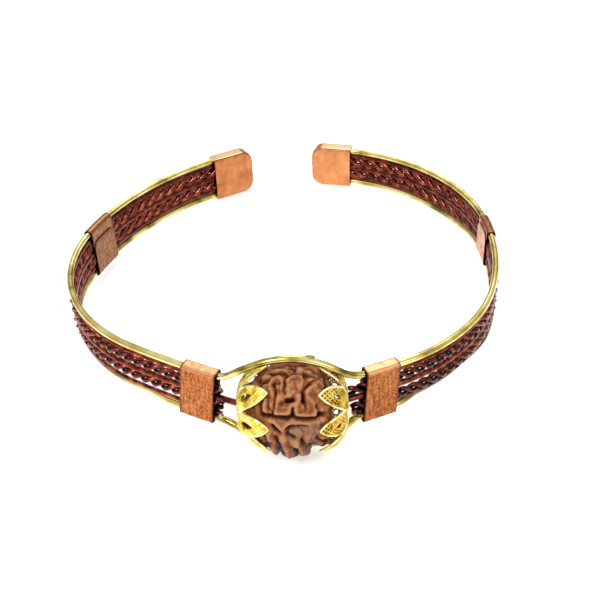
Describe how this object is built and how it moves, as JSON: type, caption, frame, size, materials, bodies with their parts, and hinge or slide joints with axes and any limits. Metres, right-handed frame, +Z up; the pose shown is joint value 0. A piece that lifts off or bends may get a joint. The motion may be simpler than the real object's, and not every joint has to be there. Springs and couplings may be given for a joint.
{
  "type": "wire cuff bracelet",
  "caption": "Open wire cuff bracelet with brass rails, twisted copper wires, sheet clips and end caps, and a drilled seed bead held between pierced flower caps at its front.",
  "frame": {"origin": "middle of the cuff's outline, on the surface that the cuff lies on", "axes": "+Z up from the surface, along the wrist; +Y from the bead towards the open ends; +X to the right as seen from the bead's side"},
  "size_m": [0.0689, 0.0756, 0.0168],
  "materials": {
    "rail_brass": "polished",
    "dark_copper_wire": "dark oxidised copper, worn bright on the ridges",
    "copper_sheet": "brushed copper",
    "rudraksha": "oiled seed",
    "gold_filigree": "gold plated filigree"
  },
  "bodies": {
    "root": {"upper_rail": "rail_brass", "lower_rail": "rail_brass", "centre_wire": "dark_copper_wire", "left_upper_thin_wire": "dark_copper_wire", "left_lower_thin_wire": "dark_copper_wire", "right_upper_thin_wire": "dark_copper_wire", "right_lower_thin_wire": "dark_copper_wire", "left_upper_strand_a": "dark_copper_wire", "left_upper_strand_b": "dark_copper_wire", "left_lower_strand_a": "dark_copper_wire", "left_lower_strand_b": "dark_copper_wire", "right_upper_strand_a": "dark_copper_wire", "right_upper_strand_b": "dark_copper_wire", "right_lower_strand_a": "dark_copper_wire", "right_lower_strand_b": "dark_copper_wire", "left_front_clip": "copper_sheet", "right_front_clip": "copper_sheet", "left_rear_clip": "copper_sheet", "right_rear_clip": "copper_sheet", "left_end_cap": "copper_sheet", "right_end_cap": "copper_sheet", "rudraksha_bead": "rudraksha", "left_bead_cap": "gold_filigree", "right_bead_cap": "gold_filigree"}
  },
  "joints": []
}
